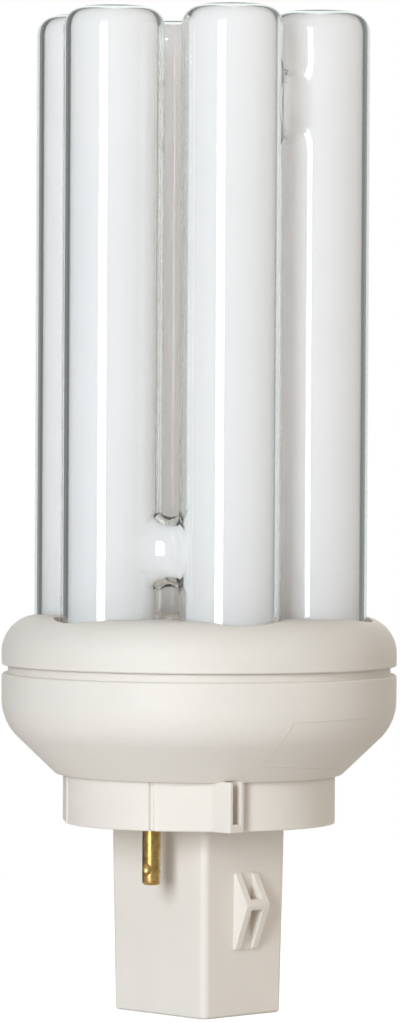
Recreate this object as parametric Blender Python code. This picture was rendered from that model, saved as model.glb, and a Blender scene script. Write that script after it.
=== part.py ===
"""Two pin compact fluorescent lamp with six joined glass legs.

The lamp stands on the end of its plug post. The origin is the centre of that end,
+Z runs up the lamp's axis, +-X are the faces with the retention lugs and +-Y are
the faces with the contact pins. All sizes are in metres.
"""
import math

import bmesh
import bpy
from mathutils import Matrix, Vector

# Clearance left between pieces that touch on the real lamp
GAP = 0.0003

# Plug post
POST_LENGTH = 0.02298
POST_WIDTH = 0.01596
POST_DEPTH = 0.01323
POST_DRAFT = math.radians(0.8)
POST_CORNER = 0.0009
POST_CHAMFER = 0.0004
POST_WALL = 0.0013
POST_FLOOR = 0.0014

# Retention lugs: two thin triangular plates joined by a web at the apex
LUG_WIDTH = 0.00386
LUG_PLATE = 0.00095
LUG_REACH = 0.00237
LUG_APEX_HEIGHT = 0.0135
LUG_RISE = 0.0038
LUG_DROP = 0.0054
LUG_STEP = 0.0003
LUG_WEB_ABOVE = 0.0007
LUG_WEB_BELOW = 0.00055
LUG_PAD = 0.00012

# Round boss with four flats, four edge grooves and two slotted keys
BOSS_RADIUS = 0.01666
BOSS_HEIGHT = 0.0059
BOSS_FLOOR = 0.0015
BOSS_EDGE = 0.00025
FLAT_ANGLE = math.radians(50.8)
FLAT_HALF_ANGLE = math.radians(11.8)
EDGE_GROOVE_WIDTH = 0.00067
EDGE_GROOVE_DEPTH = 0.00035
EDGE_GROOVE_BANK = 0.00013
KEY_OFFSET = 0.00913
KEY_WIDTH = 0.00235
KEY_STAND = 0.00206
KEY_HEAD = 0.00012
KEY_SLOT_WIDTH = 0.00138
KEY_SLOT_DEPTH = 0.0017
KEY_SLOT_SILL = 0.00103

# Bowl of the base housing
BOWL_WALL = 0.0015
BOWL_LEDGE = 0.00075
BOWL_SLOPE = math.radians(43.8)
BOWL_ROUND = 0.0065
BOWL_SIDE = 0.00303
LIP_WALL = 0.0011
LIP_RISE = 0.0033
LIP_ROOT = 0.0021
LIP_CHAMFER = 0.0004

# Groove between the bowl and the cover
GROOVE_HEIGHT = 0.00098
GROOVE_DEPTH = 0.00075

# Top cover
COVER_HEIGHT = 0.00605
COVER_SHOULDER = 0.00445
COVER_PLATE = 0.0015
SKIRT_WALL = 0.000975
COVER_EDGE = 0.0003
TUBE_HOLE_CLEARANCE = 0.0008

# Glass discharge tube
TUBE_RADIUS = 0.0061
TUBE_GAP = 0.002475
TUBE_SHOW = 0.0732
TUBE_SINK = 0.0091
TUBE_SHOULDER = 0.0026
TUBE_CROWN = 0.00025
TUBE_TO_LIP = 0.0009
NECK_RADIUS = 0.0038
NECK_FLARE = 0.0043
UPPER_NECK_DROP = 0.0118
LOWER_NECK_RISE = 0.0080
PINCH_WIDTH = 0.0078
PINCH_THICKNESS = 0.0024
PINCH_LENGTH = 0.0055
PINCH_OVERLAP = 0.0030
PINCH_LEAD_SPACING = 0.0032

# Cement bed that holds the legs under the cover plate
CEMENT_DEPTH = 0.0040
CEMENT_MARGIN = 0.0006

# Contact pins
PIN_RADIUS = 0.00109
PIN_TO_BOSS_EDGE = 0.00466
PIN_ANGLE = math.radians(18.2)
PIN_REACH = 0.00678
PIN_CHAMFER = 0.00035
PIN_FLANGE = 0.0007
PIN_FLANGE_THICKNESS = 0.0006
PIN_TAIL = 0.0024
PIN_WALL = 0.00054
PIN_NOSE = 0.0010
PIN_DIMPLE_RISE = 0.0019
PIN_DIMPLE_RADIUS = 0.0006
PIN_DIMPLE_DEPTH = 0.00027
PIN_DIMPLE_TURN = math.radians(-74.0)

# Glow starter bottle and suppression capacitor
STARTER_SIDE_CLEARANCE = 0.0012
STARTER_HEADROOM = 0.00028
STARTER_SHOULDER = 0.0018
STARTER_PINCH = 0.0030
STARTER_PINCH_WIDTH = 0.0062
STARTER_PINCH_THICKNESS = 0.0018
STARTER_LEAD_SPACING = 0.0024
CAPACITOR_LEDGE_SHARE = 0.1224
CAPACITOR_SHARE = 0.5714
CAPACITOR_WIDTH = 0.0105
CAPACITOR_HEIGHT = 0.0072
CAPACITOR_EDGE = 0.0006
CAPACITOR_LEAD_SPACING = 0.0048

# Wires, ferrules and sleeves
WIRE_RADIUS = 0.00025
WIRE_HANDLE = 0.0028
FERRULE_LENGTH = 0.0045
FERRULE_WALL = 0.00045
CRIMPED_LENGTH = 0.0036
FERRULE_RISE = 0.0042
FERRULE_NEAR = Vector((0.0020, -0.0050))
FERRULE_FAR = Vector((-0.0020, 0.0060))
SLEEVE_WALL = 0.0003

# Number of flat sides that stand for a full turn
BODY_SIDES = 48
TUBE_SIDES = 20
NECK_SIDES = 14
NECK_STEPS = 5
PIN_SIDES = 16
WIRE_SIDES = 6
SLEEVE_SIDES = 8

# Radii of the collar, worked outwards from the glass legs
LEG_CIRCLE = 2 * TUBE_RADIUS + TUBE_GAP
LIP_INSIDE = LEG_CIRCLE + TUBE_RADIUS + TUBE_TO_LIP
LIP_OUTSIDE = LIP_INSIDE + LIP_WALL
SKIRT_INSIDE = LIP_OUTSIDE + GAP
COLLAR_RADIUS = SKIRT_INSIDE + SKIRT_WALL
PIN_CIRCLE = BOSS_RADIUS - PIN_TO_BOSS_EDGE

# Heights above the post end
SEAT = POST_LENGTH
BOSS_INSIDE = SEAT + BOSS_FLOOR
BOSS_TOP = SEAT + BOSS_HEIGHT
BOWL_CORNER = BOSS_TOP + (COLLAR_RADIUS - BOSS_RADIUS - BOWL_LEDGE) * math.tan(BOWL_SLOPE)
BOWL_SIDE_BASE = BOWL_CORNER + BOWL_ROUND * math.tan((math.pi / 2 - BOWL_SLOPE) / 2)
BOWL_TOP = BOWL_SIDE_BASE + BOWL_SIDE
COVER_BASE = BOWL_TOP + GROOVE_HEIGHT
COVER_TOP = COVER_BASE + COVER_HEIGHT
TUBE_TOP = COVER_TOP + TUBE_SHOW
TUBE_BOTTOM = COVER_TOP - TUBE_SINK
CEMENT_TOP = COVER_TOP - COVER_PLATE - GAP

# Legs stand at 30 degrees and every 60 degrees on; the two electrode legs are not joined
LEG_ANGLES = [math.radians(30 + 60 * k) for k in range(6)]
ELECTRODE_LEGS = (0, 1)
UPPER_NECKS = ((0, 5), (4, 3), (2, 1))
LOWER_NECKS = ((5, 4), (3, 2))


def clear_scene():
    for item in list(bpy.data.objects):
        bpy.data.objects.remove(item, do_unlink=True)


def material(name, colour, roughness, metallic=0.0, transmission=0.0):
    mat = bpy.data.materials.new(name)
    mat.use_nodes = True
    shader = mat.node_tree.nodes["Principled BSDF"]
    shader.inputs["Base Color"].default_value = (*colour, 1.0)
    shader.inputs["Roughness"].default_value = roughness
    shader.inputs["Metallic"].default_value = metallic
    shader.inputs["Transmission Weight"].default_value = transmission
    return mat


def add_object(name, bm, mat=None):
    bmesh.ops.recalc_face_normals(bm, faces=bm.faces)
    mesh = bpy.data.meshes.new(name)
    bm.to_mesh(mesh)
    bm.free()
    mesh.shade_smooth()
    mesh.set_sharp_from_angle(angle=math.radians(30))
    obj = bpy.data.objects.new(name, mesh)
    bpy.context.collection.objects.link(obj)
    if mat:
        mesh.materials.append(mat)
    return obj


def add_cutter(name, bm):
    """An object that only shapes another one through a Boolean."""
    obj = add_object(name, bm)
    obj.hide_render = True
    obj.display_type = "WIRE"
    return obj


def combine(target, other, operation):
    modifier = target.modifiers.new(other.name, "BOOLEAN")
    modifier.operation = operation
    modifier.solver = "EXACT"
    modifier.object = other


def loft(bm, rings, closed_ends=True):
    """Joins rings of equal length with quads; a ring of one point is a pole."""
    for low, high in zip(rings, rings[1:]):
        count = max(len(low), len(high))
        for k in range(count):
            n = (k + 1) % count
            if len(low) == 1:
                bm.faces.new((low[0], high[n], high[k]))
            elif len(high) == 1:
                bm.faces.new((low[k], low[n], high[0]))
            else:
                bm.faces.new((low[k], low[n], high[n], high[k]))
    if closed_ends:
        for ring in (rings[0], rings[-1]):
            if len(ring) > 2:
                bm.faces.new(ring)


def turned(profile, sides, bm=None, place=Matrix.Identity(4), closed=False):
    """A solid of revolution about Z from (radius, height) points.

    An open profile starts and ends at a pole on the axis or in a flat cap. A closed
    one is a ring whose last point joins its first.
    """
    bm = bm or bmesh.new()
    rings = []
    for radius, height in profile:
        if radius == 0.0:
            rings.append([bm.verts.new(place @ Vector((0, 0, height)))])
            continue
        ring = []
        for k in range(sides):
            turn = 2 * math.pi * (k + 0.5) / sides
            point = Vector((radius * math.cos(turn), radius * math.sin(turn), height))
            ring.append(bm.verts.new(place @ point))
        rings.append(ring)
    if closed:
        rings.append(rings[0])
    loft(bm, rings, closed_ends=not closed)
    return bm


def arc(centre, radius, start, end, steps):
    """Points on an arc in the (radius, height) plane, angles in radians."""
    points = []
    for k in range(steps + 1):
        turn = start + (end - start) * k / steps
        points.append((centre[0] + radius * math.cos(turn), centre[1] + radius * math.sin(turn)))
    return points


def outline_loft(levels, bm=None):
    """A solid through flat outlines: levels are (list of (x, y), height)."""
    bm = bm or bmesh.new()
    rings = [[bm.verts.new((x, y, height)) for x, y in outline] for outline, height in levels]
    loft(bm, rings)
    return bm


def rounded_rectangle(half_x, half_y, radius, steps=3):
    points = []
    corners = ((1, 1, 0), (-1, 1, 90), (-1, -1, 180), (1, -1, 270))
    for sign_x, sign_y, start in corners:
        centre = (sign_x * (half_x - radius), sign_y * (half_y - radius))
        first = math.radians(start)
        points += arc(centre, radius, first, first + math.pi / 2, steps)
    return points


def block(bm, low, high, place=Matrix.Identity(4)):
    """An upright box between two corners, moved by place."""
    (x0, y0, z0), (x1, y1, z1) = low, high
    rings = []
    for z in (z0, z1):
        corners = ((x0, y0), (x1, y0), (x1, y1), (x0, y1))
        rings.append([bm.verts.new(place @ Vector((x, y, z))) for x, y in corners])
    loft(bm, rings)


def half_turn(k):
    """The rotation that puts a feature on the first or the opposite side."""
    return Matrix.Rotation(math.pi * k, 4, "Z")


def post_half(height):
    """Half width and half depth of the tapered post at a height."""
    grow = height * math.tan(POST_DRAFT)
    return POST_WIDTH / 2 + grow, POST_DEPTH / 2 + grow


def post_level(height, inset, corner):
    half_x, half_y = post_half(height)
    return rounded_rectangle(half_x - inset, half_y - inset, corner), height


def post_form():
    top = SEAT + BOSS_FLOOR / 2
    levels = [
        post_level(0.0, POST_CHAMFER, POST_CORNER),
        post_level(POST_CHAMFER, 0.0, POST_CORNER),
        post_level(top, 0.0, POST_CORNER),
    ]
    return outline_loft(levels)


def post_cavity():
    corner = POST_CORNER / 2
    levels = [
        post_level(POST_FLOOR, POST_WALL, corner),
        post_level(BOSS_INSIDE + BOSS_FLOOR, POST_WALL, corner),
    ]
    return outline_loft(levels)


def lug_section():
    """The lug's side outline as (x, z) points, rooted inside the post's wall."""
    root = POST_WIDTH / 2 - POST_WALL / 2
    face = post_half(LUG_APEX_HEIGHT)[0]
    low = LUG_APEX_HEIGHT - LUG_DROP
    high = LUG_APEX_HEIGHT + LUG_RISE
    apex = (face + LUG_REACH, LUG_APEX_HEIGHT)
    return [(root, low), (face + LUG_STEP, low), apex, (face + LUG_STEP, high), (root, high)]


def lug_solids():
    bm = bmesh.new()
    for k in range(2):
        rings = []
        for y in (-LUG_WIDTH / 2, LUG_WIDTH / 2):
            ring = [bm.verts.new(half_turn(k) @ Vector((x, y, z))) for x, z in lug_section()]
            rings.append(ring)
        loft(bm, rings)
    return bm


def lug_pockets():
    """The spaces between the two plates of a lug, above and below its web."""
    bm = bmesh.new()
    face = post_half(LUG_APEX_HEIGHT)[0]
    near = face + LUG_PAD
    far = face + 2 * LUG_REACH
    half = LUG_WIDTH / 2 - LUG_PLATE
    spans = (
        (LUG_APEX_HEIGHT - 2 * LUG_DROP, LUG_APEX_HEIGHT - LUG_WEB_BELOW),
        (LUG_APEX_HEIGHT + LUG_WEB_ABOVE, LUG_APEX_HEIGHT + 2 * LUG_RISE),
    )
    for k in range(2):
        for low, high in spans:
            block(bm, (near, -half, low), (far, half, high), half_turn(k))
    return bm


def key_face():
    """Distance of the keys' outer faces from the YZ plane."""
    return math.sqrt(BOSS_RADIUS ** 2 - KEY_OFFSET ** 2) + KEY_STAND


def boss_half_outline():
    """The +X half of the boss seen along Z, from -90 to 90 degrees, with its key."""
    axis = (0.0, 0.0)
    groove_turn = EDGE_GROOVE_WIDTH / BOSS_RADIUS
    flat_near = FLAT_ANGLE - FLAT_HALF_ANGLE
    flat_far = FLAT_ANGLE + FLAT_HALF_ANGLE
    quarter = math.pi / 2
    floor_radius = BOSS_RADIUS - EDGE_GROOVE_DEPTH
    bank = EDGE_GROOVE_BANK / BOSS_RADIUS
    groove = arc(axis, floor_radius, flat_far + bank, flat_far + groove_turn - bank, 1)
    side = arc(axis, BOSS_RADIUS, flat_far + groove_turn, quarter, 4)
    upper = arc(axis, BOSS_RADIUS, flat_near, flat_far, 1) + groove + side[:-1]
    lower = [(x, -y) for x, y in reversed(upper)]
    key_low = -KEY_OFFSET - KEY_WIDTH / 2
    key_high = -KEY_OFFSET + KEY_WIDTH / 2
    key_turn = math.asin(key_high / BOSS_RADIUS)
    key = [
        (math.sqrt(BOSS_RADIUS ** 2 - key_low ** 2), key_low),
        (key_face(), key_low),
        (key_face(), key_high),
    ]
    front = arc(axis, BOSS_RADIUS, key_turn, flat_near, 8)
    return [(side[-1][0], -side[-1][1])] + lower + key + front[:-1] + upper


def boss_outline(scale=1.0):
    """The whole boss seen along Z: the opposite half is the first turned by 180 degrees."""
    half = [(scale * x, scale * y) for x, y in boss_half_outline()]
    return half + [(-x, -y) for x, y in half]


def boss_form():
    edge_scale = 1 - BOSS_EDGE / BOSS_RADIUS
    levels = [
        (boss_outline(edge_scale), SEAT),
        (boss_outline(), SEAT + BOSS_EDGE),
        (boss_outline(), BOSS_TOP + KEY_HEAD),
    ]
    return outline_loft(levels)


def key_slots():
    bm = bmesh.new()
    for k in range(2):
        low = (key_face() - KEY_SLOT_DEPTH, -KEY_OFFSET - KEY_SLOT_WIDTH / 2, SEAT + KEY_SLOT_SILL)
        high = (key_face() + KEY_STAND, -KEY_OFFSET + KEY_SLOT_WIDTH / 2, BOSS_TOP + GAP)
        block(bm, low, high, half_turn(k))
    return bm


def bowl_slope_profile():
    """The outer line from the boss up to the bowl's side, with its round corner."""
    low = (BOSS_RADIUS + BOWL_LEDGE, BOSS_TOP)
    centre = (COLLAR_RADIUS - BOWL_ROUND, BOWL_SIDE_BASE)
    return [low] + arc(centre, BOWL_ROUND, BOWL_SLOPE - math.pi / 2, 0.0, 6)


def bowl_form():
    shoulder = COLLAR_RADIUS - GROOVE_DEPTH
    lip_top = BOWL_TOP + LIP_RISE
    profile = bowl_slope_profile() + [
        (COLLAR_RADIUS, BOWL_TOP - COVER_EDGE),
        (COLLAR_RADIUS - COVER_EDGE, BOWL_TOP),
        (shoulder, BOWL_TOP),
        (shoulder, COVER_BASE - GAP),
        (LIP_OUTSIDE, COVER_BASE - GAP),
        (LIP_OUTSIDE, lip_top - LIP_CHAMFER),
        (LIP_OUTSIDE - LIP_CHAMFER, lip_top),
    ]
    return turned(profile, BODY_SIDES)


def bowl_cavity():
    boss_inside = BOSS_RADIUS - BOSS_FLOOR
    side_inside = COLLAR_RADIUS - BOWL_WALL
    slope = math.tan(BOWL_SLOPE)
    lift = BOWL_WALL / math.cos(BOWL_SLOPE)
    outer_start = BOSS_RADIUS + BOWL_LEDGE

    def inner_height(radius):
        return BOSS_TOP + (radius - outer_start) * slope + lift

    profile = [
        (boss_inside, BOSS_INSIDE),
        (boss_inside, inner_height(boss_inside)),
        (side_inside, inner_height(side_inside)),
        (side_inside, BOWL_TOP - LIP_ROOT - (side_inside - LIP_INSIDE)),
        (LIP_INSIDE, BOWL_TOP - LIP_ROOT),
        (LIP_INSIDE, BOWL_TOP + 2 * LIP_RISE),
    ]
    return turned(profile, BODY_SIDES)


def pin_place(k):
    """Where contact pin k stands, as a transform with its origin at seat height."""
    x = PIN_CIRCLE * math.sin(PIN_ANGLE)
    y = -PIN_CIRCLE * math.cos(PIN_ANGLE)
    return half_turn(k) @ Matrix.Translation((x, y, SEAT))


def pin_holes():
    bm = bmesh.new()
    for k in range(2):
        radius = PIN_RADIUS + GAP
        profile = [(radius, -BOSS_FLOOR), (radius, 2 * BOSS_FLOOR)]
        turned(profile, PIN_SIDES, bm, pin_place(k))
    return bm


def build_base_housing(mat):
    """Bowl, boss, keys, post and lugs are one moulding, hollow and open at the top."""
    housing = add_object("base_housing", bowl_form(), mat)
    combine(housing, add_cutter("boss_form", boss_form()), "UNION")
    combine(housing, add_cutter("post_form", post_form()), "UNION")
    combine(housing, add_cutter("lug_form", lug_solids()), "UNION")
    combine(housing, add_cutter("bowl_cavity", bowl_cavity()), "DIFFERENCE")
    combine(housing, add_cutter("post_cavity", post_cavity()), "DIFFERENCE")
    combine(housing, add_cutter("lug_pockets", lug_pockets()), "DIFFERENCE")
    combine(housing, add_cutter("key_slots", key_slots()), "DIFFERENCE")
    combine(housing, add_cutter("pin_holes", pin_holes()), "DIFFERENCE")


def leg_place(index):
    turn = LEG_ANGLES[index]
    return Matrix.Rotation(turn, 4, "Z") @ Matrix.Translation((LEG_CIRCLE, 0, 0))


def build_top_cover(mat):
    shoulder_centre = (COLLAR_RADIUS - COVER_SHOULDER, COVER_TOP - COVER_SHOULDER)
    profile = [
        (COLLAR_RADIUS - COVER_EDGE, COVER_BASE),
        (COLLAR_RADIUS, COVER_BASE + COVER_EDGE),
    ]
    profile += arc(shoulder_centre, COVER_SHOULDER, 0.0, math.pi / 2, 7)
    cover = add_object("top_cover", turned(profile, BODY_SIDES), mat)
    plate_underside = COVER_TOP - COVER_PLATE
    hollow = [
        (SKIRT_INSIDE, COVER_BASE - COVER_PLATE),
        (SKIRT_INSIDE, plate_underside - LIP_WALL),
        (LIP_INSIDE, plate_underside),
    ]
    combine(cover, add_cutter("cover_hollow", turned(hollow, BODY_SIDES)), "DIFFERENCE")
    holes = bmesh.new()
    for index in range(6):
        radius = TUBE_RADIUS + TUBE_HOLE_CLEARANCE
        reach = [(radius, COVER_TOP - COVER_HEIGHT), (radius, COVER_TOP + COVER_HEIGHT)]
        turned(reach, TUBE_SIDES, holes, leg_place(index))
    combine(cover, add_cutter("leg_holes", holes), "DIFFERENCE")


def leg_profile(bottom, domed):
    """A leg from its lower end to its flattened dome, as (radius, height) points."""
    flat = TUBE_RADIUS - TUBE_SHOULDER
    top_centre = (flat, TUBE_TOP - TUBE_CROWN - TUBE_SHOULDER)
    low_centre = (flat, bottom + TUBE_SHOULDER)
    profile = [(0.0, bottom)]
    profile += arc(low_centre, TUBE_SHOULDER, -math.pi / 2, 0.0, 4 if domed else 3)
    profile += arc(top_centre, TUBE_SHOULDER, 0.0, math.pi / 2, 5)
    profile += [(flat / 2, TUBE_TOP - TUBE_CROWN / 4), (0.0, TUBE_TOP)]
    return profile


def neck_profile():
    """Half of a bridge from its waist outwards, as (radius, distance) points."""
    half = LEG_CIRCLE / 2
    surface = half - TUBE_RADIUS
    buried = half - math.sqrt(TUBE_RADIUS ** 2 - NECK_FLARE ** 2) + TUBE_CROWN
    swell = NECK_FLARE - NECK_RADIUS
    reach = surface + swell
    profile = []
    for k in range(NECK_STEPS + 1):
        along = k / NECK_STEPS
        profile.append((NECK_RADIUS + swell * math.sin(along * math.pi / 2) ** 2, reach * along))
    return profile + [(NECK_FLARE, buried)]


def neck_solids():
    bm = bmesh.new()
    half = neck_profile()
    profile = [(radius, -along) for radius, along in reversed(half[1:])] + half
    upper = TUBE_TOP - UPPER_NECK_DROP
    lower = COVER_TOP + LOWER_NECK_RISE
    for pairs, height in ((UPPER_NECKS, upper), (LOWER_NECKS, lower)):
        for first, second in pairs:
            middle_turn = (LEG_ANGLES[first] + LEG_ANGLES[second]) / 2
            if abs(first - second) == 5:
                middle_turn += math.pi
            apothem = LEG_CIRCLE * math.cos(math.pi / 6)
            place = Matrix.Rotation(middle_turn, 4, "Z")
            place = place @ Matrix.Translation((apothem, 0, height))
            place = place @ Matrix.Rotation(math.pi / 2, 4, "X")
            turned(profile, NECK_SIDES, bm, place)
    return bm


def pinch_bottom():
    return TUBE_BOTTOM + PINCH_OVERLAP - PINCH_LENGTH


def pinch_solids():
    """Flat press seals under the two legs that hold the electrodes."""
    bm = bmesh.new()
    for index in ELECTRODE_LEGS:
        low = (-PINCH_THICKNESS / 2, -PINCH_WIDTH / 2, pinch_bottom())
        high = (PINCH_THICKNESS / 2, PINCH_WIDTH / 2, TUBE_BOTTOM + 2 * PINCH_OVERLAP)
        block(bm, low, high, leg_place(index))
    return bm


def build_discharge_tube(mat):
    legs = bmesh.new()
    for index in range(6):
        domed = index not in ELECTRODE_LEGS
        bottom = TUBE_BOTTOM if domed else TUBE_BOTTOM + PINCH_OVERLAP
        turned(leg_profile(bottom, domed), TUBE_SIDES, legs, leg_place(index))
    tube = add_object("discharge_tube", legs, mat)
    combine(tube, add_cutter("neck_form", neck_solids()), "UNION")
    combine(tube, add_cutter("pinch_form", pinch_solids()), "UNION")


def build_tube_cement(mat):
    radius = LEG_CIRCLE + TUBE_RADIUS - CEMENT_MARGIN
    profile = [(radius, CEMENT_TOP - CEMENT_DEPTH), (radius, CEMENT_TOP)]
    cement = add_object("tube_cement", turned(profile, BODY_SIDES), mat)
    holes = bmesh.new()
    for index in range(6):
        reach = [(TUBE_RADIUS + GAP, CEMENT_TOP - 2 * CEMENT_DEPTH),
                 (TUBE_RADIUS + GAP, CEMENT_TOP + CEMENT_DEPTH)]
        turned(reach, TUBE_SIDES, holes, leg_place(index))
    combine(cement, add_cutter("cement_holes", holes), "DIFFERENCE")


def pin_top():
    """Height of a pin's open tail above the seat."""
    return BOSS_FLOOR + GAP + PIN_FLANGE_THICKNESS + PIN_TAIL


def build_contact_pins(mat):
    """Hollow brass pins with a flange on the boss floor and a crimp dimple."""
    bore = PIN_RADIUS - PIN_WALL
    flange_low = BOSS_FLOOR + GAP
    flange_high = flange_low + PIN_FLANGE_THICKNESS
    profile = [
        (0.0, -PIN_REACH),
        (PIN_RADIUS - PIN_CHAMFER, -PIN_REACH),
        (PIN_RADIUS, -PIN_REACH + PIN_CHAMFER),
        (PIN_RADIUS, flange_low),
        (PIN_RADIUS + PIN_FLANGE, flange_low),
        (PIN_RADIUS + PIN_FLANGE, flange_high),
        (PIN_RADIUS, flange_high),
        (PIN_RADIUS, pin_top()),
        (bore, pin_top()),
        (bore, -PIN_REACH + PIN_NOSE),
        (0.0, -PIN_REACH + PIN_NOSE),
    ]
    inset = PIN_RADIUS + PIN_DIMPLE_RADIUS - PIN_DIMPLE_DEPTH
    for k in range(2):
        pin = add_object(f"contact_pin_{k + 1}", turned(profile, PIN_SIDES, None, pin_place(k)), mat)
        dent = bmesh.new()
        turn = Matrix.Rotation(PIN_DIMPLE_TURN, 4, "Z")
        spot = Matrix.Translation((inset, 0, PIN_DIMPLE_RISE - PIN_REACH))
        bmesh.ops.create_icosphere(dent, subdivisions=2, radius=PIN_DIMPLE_RADIUS,
                                   matrix=pin_place(k) @ turn @ spot)
        combine(pin, add_cutter(f"pin_dimple_{k + 1}", dent), "DIFFERENCE")


def starter_radius():
    return post_half(POST_FLOOR)[1] - POST_WALL - STARTER_SIDE_CLEARANCE


def starter_top():
    return BOSS_INSIDE - STARTER_HEADROOM


def build_starter_bottle(mat):
    """A small sealed glass bottle standing in the post, its press seal on top."""
    radius = starter_radius()
    base = POST_FLOOR + GAP
    body_top = starter_top() - STARTER_PINCH
    round_radius = radius - STARTER_SHOULDER
    low_centre = (round_radius, base + STARTER_SHOULDER)
    top_centre = (round_radius, body_top - STARTER_SHOULDER)
    profile = [(0.0, base)]
    profile += arc(low_centre, STARTER_SHOULDER, -math.pi / 2, 0.0, 3)
    profile += arc(top_centre, STARTER_SHOULDER, 0.0, math.pi / 2, 3)
    profile += [(0.0, body_top)]
    bottle = add_object("starter_bottle", turned(profile, PIN_SIDES), mat)
    seal = bmesh.new()
    half_x = STARTER_PINCH_THICKNESS / 2
    half_y = STARTER_PINCH_WIDTH / 2
    low = (-half_x, -half_y, body_top - STARTER_SHOULDER)
    high = (half_x, half_y, starter_top())
    block(seal, low, high)
    combine(bottle, add_cutter("starter_seal", seal), "UNION")


def capacitor_span():
    """How far the capacitor's inner and outer faces stand from the lamp's axis."""
    opening = post_half(BOSS_INSIDE)[0] - POST_WALL
    wall = math.sqrt((BOSS_RADIUS - BOSS_FLOOR) ** 2 - (CAPACITOR_WIDTH / 2) ** 2)
    inner = opening + CAPACITOR_LEDGE_SHARE * (wall - opening)
    return inner, inner + CAPACITOR_SHARE * (wall - opening)


def capacitor_centre():
    return -sum(capacitor_span()) / 2


def capacitor_top():
    return BOSS_INSIDE + GAP + CAPACITOR_HEIGHT


def build_capacitor(mat):
    """A flat film capacitor standing on the boss floor beside the post opening."""
    centre = capacitor_centre()
    inner, outer = capacitor_span()
    levels = []
    spans = ((BOSS_INSIDE + GAP, CAPACITOR_EDGE / 2), (BOSS_INSIDE + GAP + CAPACITOR_EDGE / 2, 0.0),
             (capacitor_top() - CAPACITOR_EDGE / 2, 0.0), (capacitor_top(), CAPACITOR_EDGE / 2))
    for height, inset in spans:
        outline = rounded_rectangle((outer - inner) / 2 - inset, CAPACITOR_WIDTH / 2 - inset,
                                    CAPACITOR_EDGE, 2)
        levels.append(([(x + centre, y) for x, y in outline], height))
    add_object("suppression_capacitor", outline_loft(levels), mat)


def bezier(first, second, third, fourth, steps):
    points = []
    for k in range(steps + 1):
        t = k / steps
        s = 1 - t
        point = s ** 3 * first + 3 * s * s * t * second + 3 * s * t * t * third + t ** 3 * fourth
        points.append(point)
    return points


def wire_path(start, start_up, end, end_up, tail, steps=9):
    """Leaves start along Z, bends over to end and runs straight on for the tail."""
    first = start + Vector((0, 0, start_up * WIRE_HANDLE))
    last = end + Vector((0, 0, end_up * WIRE_HANDLE))
    points = bezier(start, first, last, end, steps)
    points.append(end - Vector((0, 0, end_up * tail)))
    return points


def sweep(points, outer, sides, inner=0.0):
    """A round wire along points, or a hollow sleeve where an inner radius is given."""
    bm = bmesh.new()
    tangents = []
    for k in range(len(points)):
        before = points[max(k - 1, 0)]
        after = points[min(k + 1, len(points) - 1)]
        tangents.append((after - before).normalized())
    side = tangents[0].orthogonal().normalized()
    shells = [[], []]
    for point, tangent in zip(points, tangents):
        side = (side - tangent * side.dot(tangent)).normalized()
        other = tangent.cross(side)
        for shell, radius in zip(shells, (outer, inner)):
            if radius == 0.0:
                continue
            ring = []
            for k in range(sides):
                turn = 2 * math.pi * k / sides
                offset = side * math.cos(turn) + other * math.sin(turn)
                ring.append(bm.verts.new(point + radius * offset))
            shell.append(ring)
    if inner == 0.0:
        loft(bm, shells[0])
    else:
        loft(bm, shells[0] + shells[1][::-1] + shells[0][:1], closed_ends=False)
    return bm


def ferrule_slot(centre, height, toward):
    """A wire's place in a ferrule: three slots, the first one facing a point."""
    spread = 2 * (WIRE_RADIUS + GAP / 2) / math.sqrt(3)
    aim = Vector((toward[0] - centre[0], toward[1] - centre[1]))
    base = math.atan2(aim.y, aim.x)
    places = []
    for k in range(3):
        turn = base + 2 * math.pi * k / 3
        places.append(Vector((centre[0] + spread * math.cos(turn),
                              centre[1] + spread * math.sin(turn), height)))
    return places


def pinch_lead(index, sign):
    """The point just under a press seal where a lead-in wire starts."""
    local = Vector((0, sign * PINCH_LEAD_SPACING / 2, pinch_bottom() - GAP))
    return leg_place(index) @ local


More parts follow.
